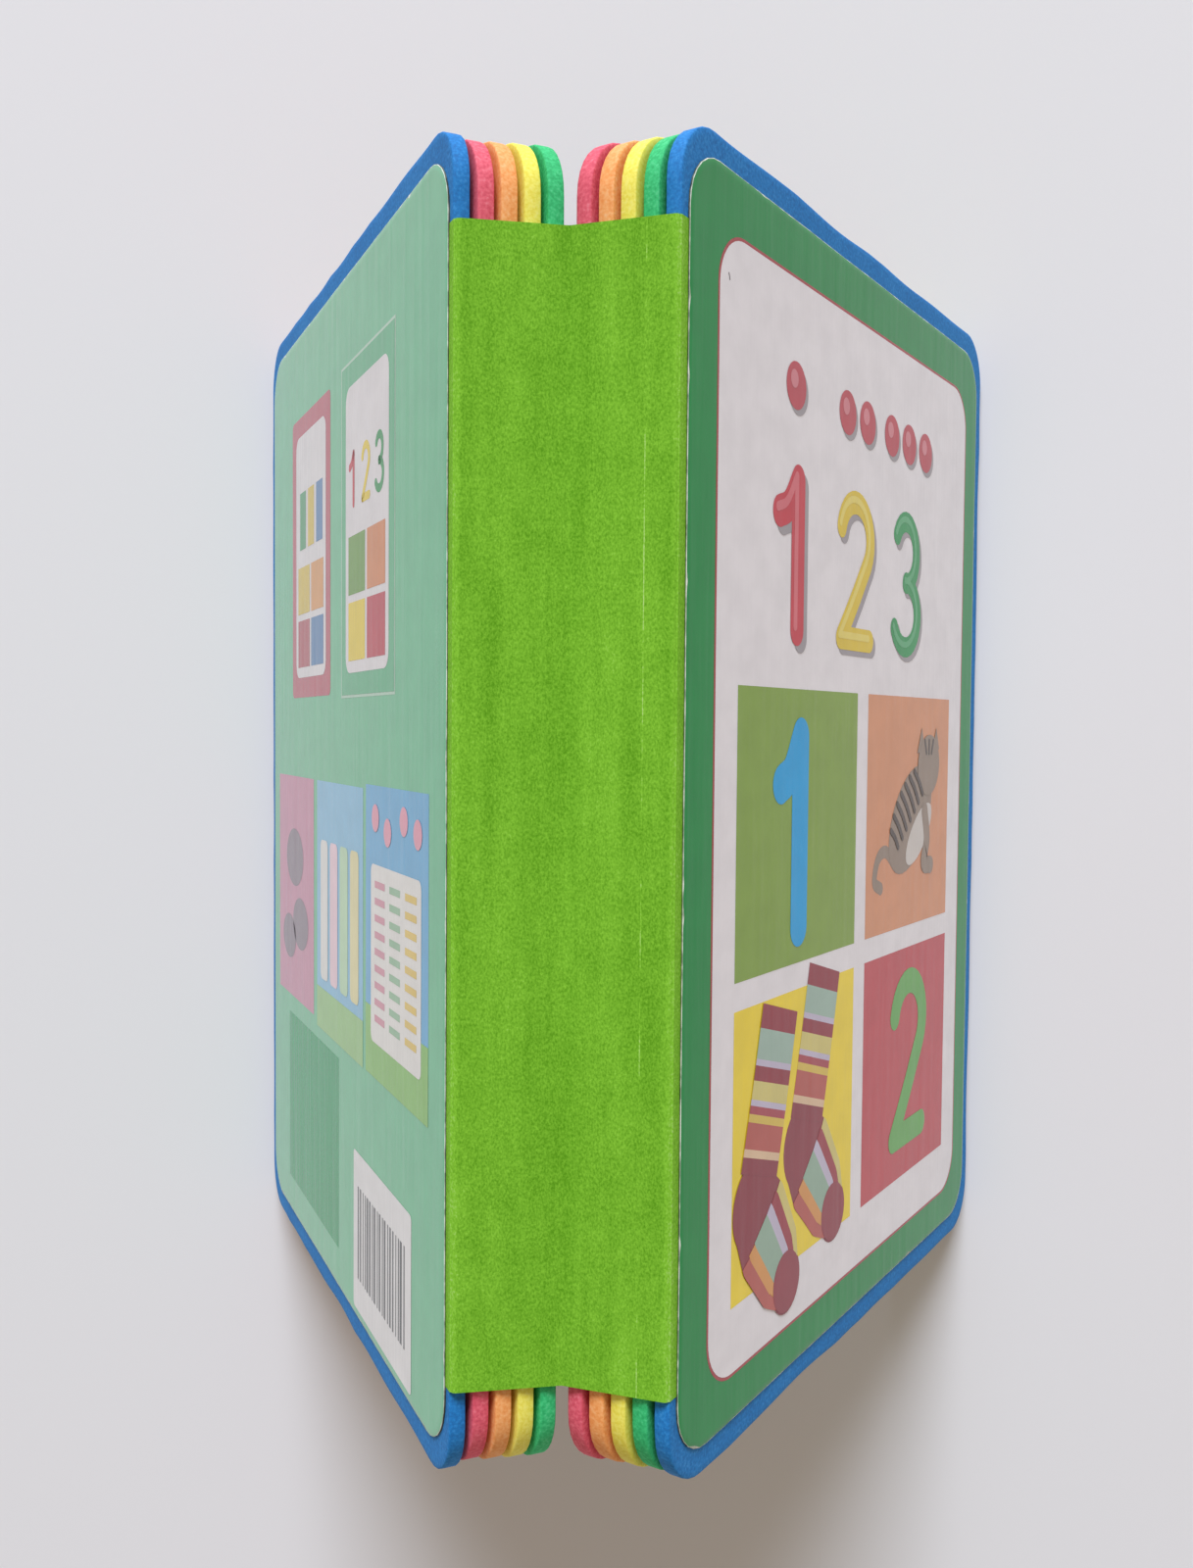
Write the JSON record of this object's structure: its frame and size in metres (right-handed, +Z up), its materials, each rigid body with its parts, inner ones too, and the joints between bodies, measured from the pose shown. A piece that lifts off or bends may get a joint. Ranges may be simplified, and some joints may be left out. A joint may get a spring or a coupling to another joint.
{
  "type": "foam number book",
  "caption": "Children's first number book of die-cut foam boards with printed card covers and a wrapped spine strip, standing open like a tent.",
  "frame": {"origin": "on the table, under the middle of the spine", "axes": "+Z up with the spine on top, +Y towards the head of the book, +X towards the front cover"},
  "size_m": [0.1634, 0.2, 0.1251],
  "materials": {
    "spine_paper": "fibrous lime green paper",
    "blue_foam": "matt closed-cell foam sheet",
    "cover_card": "printed and varnished card",
    "green_foam": "matt closed-cell foam sheet",
    "yellow_foam": "matt closed-cell foam sheet",
    "orange_foam": "matt closed-cell foam sheet",
    "red_foam": "matt closed-cell foam sheet"
  },
  "bodies": {
    "leaves_and_spine": {"spine_strip": "spine_paper", "leaf_1_green": "green_foam", "leaf_2_yellow": "yellow_foam", "leaf_3_orange": "orange_foam", "leaf_4_red": "red_foam", "leaf_5_green": "green_foam", "leaf_6_yellow": "yellow_foam", "leaf_7_orange": "orange_foam", "leaf_8_red": "red_foam"},
    "front_cover": {"front_cover_board": "blue_foam", "front_cover_card": "cover_card"},
    "back_cover": {"back_cover_board": "blue_foam", "back_cover_card": "cover_card"}
  },
  "joints": [
    {"name": "front_cover_hinge", "type": "hinge", "parent": "leaves_and_spine", "child": "front_cover", "pos_m": [0.016, 0, 0.12479], "axis": [0, -1, 0], "range_deg": [0, 150], "deforming": ["spine_strip"]},
    {"name": "back_cover_hinge", "type": "hinge", "parent": "leaves_and_spine", "child": "back_cover", "pos_m": [-0.016, 0, 0.12479], "axis": [0, 1, 0], "range_deg": [0, 150], "deforming": ["spine_strip"]}
  ]
}
